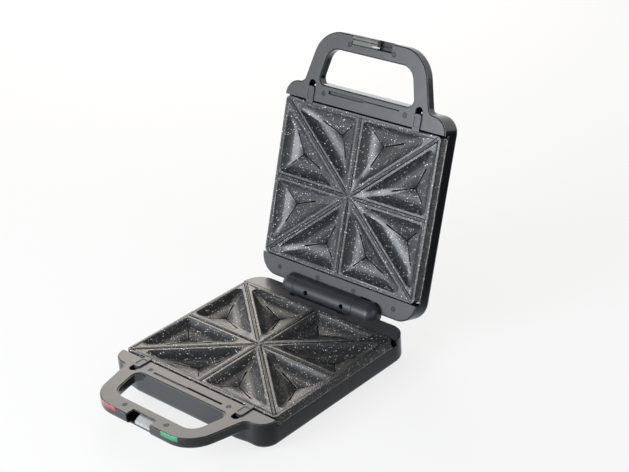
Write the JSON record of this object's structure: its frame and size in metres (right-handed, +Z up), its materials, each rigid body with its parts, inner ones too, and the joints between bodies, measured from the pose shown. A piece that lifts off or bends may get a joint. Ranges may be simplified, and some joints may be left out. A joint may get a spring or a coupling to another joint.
{
  "type": "sandwich toaster",
  "caption": "Folding sandwich toaster with two coated plates of triangular pockets, loop handles, plate catches, a lid lock and a rear barrel hinge, standing open.",
  "frame": {"origin": "middle of the open toaster's box, on the table that its feet stand on", "axes": "+X to the right seen from the handle, +Y from the base's handle towards the hinge, +Z up"},
  "size_m": [0.258, 0.4517, 0.3546],
  "materials": {
    "housing_plastic": "black moulded heat-proof plastic, softly glossy",
    "deck_plastic": "dark grey satin panel",
    "nonstick_coating": "charcoal non-stick coating with fine white specks on die-cast aluminium",
    "reflector_steel": "bright pressed steel",
    "heater_sheath": "oxidised steel sheath",
    "clip_steel": "plain steel",
    "wire_insulation": "woven glass sleeve",
    "terminal_ceramic": "glazed ceramic",
    "thermostat_metal": "plain aluminium",
    "fuse_sleeve": "glass sleeve",
    "filler_plastic": "mid grey satin",
    "catch_plastic": "black satin",
    "spring_steel": "spring steel",
    "screw_steel": "blackened steel",
    "keeper_plastic": "light grey satin",
    "red_lens": "clear red",
    "green_lens": "clear green",
    "lamp_glass": "small glass lamps",
    "inlet_rubber": "black rubber",
    "foot_rubber": "black rubber",
    "hinge_plastic": "dark slate satin",
    "pin_steel": "ground steel",
    "lock_plastic": "grey, with a bright bevel",
    "lock_hook_steel": "plated steel"
  },
  "bodies": {
    "base": {"base_housing": "housing_plastic", "base_handle_panel": "deck_plastic", "base_rear_panel": "deck_plastic", "base_plate": "nonstick_coating", "base_reflector": "reflector_steel", "base_slot_filler": "filler_plastic", "base_catch_springs": "spring_steel", "base_deck_screws": "screw_steel", "base_latch_keeper": "keeper_plastic", "power_lens_red": "red_lens", "ready_lens_green": "green_lens", "indicator_lamps": "lamp_glass", "cord_inlet_bush": "inlet_rubber", "feet": "foot_rubber", "hinge_knuckle_left": "hinge_plastic", "hinge_knuckle_right": "hinge_plastic", "hinge_knuckle_screws": "screw_steel", "hinge_pins": "pin_steel", "thermal_fuse": "fuse_sleeve", "base_heater": "heater_sheath", "base_heater_clips": "clip_steel", "base_wiring": "wire_insulation", "base_terminal_block": "terminal_ceramic", "base_thermostat": "thermostat_metal", "base_reflector_screws": "screw_steel"},
    "lid": {"lid_housing": "housing_plastic", "lid_handle_panel": "deck_plastic", "lid_rear_panel": "deck_plastic", "lid_plate": "nonstick_coating", "lid_reflector": "reflector_steel", "lid_slot_filler": "filler_plastic", "lid_catch_springs": "spring_steel", "lid_deck_screws": "screw_steel", "hinge_barrel": "hinge_plastic", "hinge_barrel_screws": "screw_steel", "lid_heater": "heater_sheath", "lid_heater_clips": "clip_steel", "lid_wiring": "wire_insulation", "lid_terminal_block": "terminal_ceramic", "lid_thermostat": "thermostat_metal", "lid_reflector_screws": "screw_steel"},
    "base_catch_left": {"base_catch_left": "catch_plastic"},
    "base_catch_right": {"base_catch_right": "catch_plastic"},
    "lid_catch_left": {"lid_catch_left": "catch_plastic"},
    "lid_catch_right": {"lid_catch_right": "catch_plastic"},
    "lid_lock": {"lid_lock_slider": "lock_plastic", "lid_lock_hook": "lock_hook_steel"}
  },
  "joints": [
    {"name": "lid_hinge", "type": "hinge", "parent": "base", "child": "lid", "pos_m": [0, 0.10765, 0.038], "axis": [1, 0, 0], "range_deg": [0, 107.9]},
    {"name": "base_catch_left_slide", "type": "slide", "parent": "base", "child": "base_catch_left", "axis": [0, -1, 0], "range_m": [0, 0.0045], "stiffness_N_per_m": 500, "springref_m": -0.004, "deforming": ["base_catch_springs"]},
    {"name": "base_catch_right_slide", "type": "slide", "parent": "base", "child": "base_catch_right", "axis": [0, -1, 0], "range_m": [0, 0.0045], "stiffness_N_per_m": 500, "springref_m": -0.004, "deforming": ["base_catch_springs"]},
    {"name": "lid_catch_left_slide", "type": "slide", "parent": "lid", "child": "lid_catch_left", "axis": [0, 0.3074, 0.9516], "range_m": [0, 0.0045], "stiffness_N_per_m": 500, "springref_m": -0.004, "deforming": ["lid_catch_springs"]},
    {"name": "lid_catch_right_slide", "type": "slide", "parent": "lid", "child": "lid_catch_right", "axis": [0, 0.3074, 0.9516], "range_m": [0, 0.0045], "stiffness_N_per_m": 500, "springref_m": -0.004, "deforming": ["lid_catch_springs"]},
    {"name": "lid_lock_slide", "type": "slide", "parent": "lid", "child": "lid_lock", "axis": [1, 0, 0], "range_m": [0, 0.0075]}
  ]
}
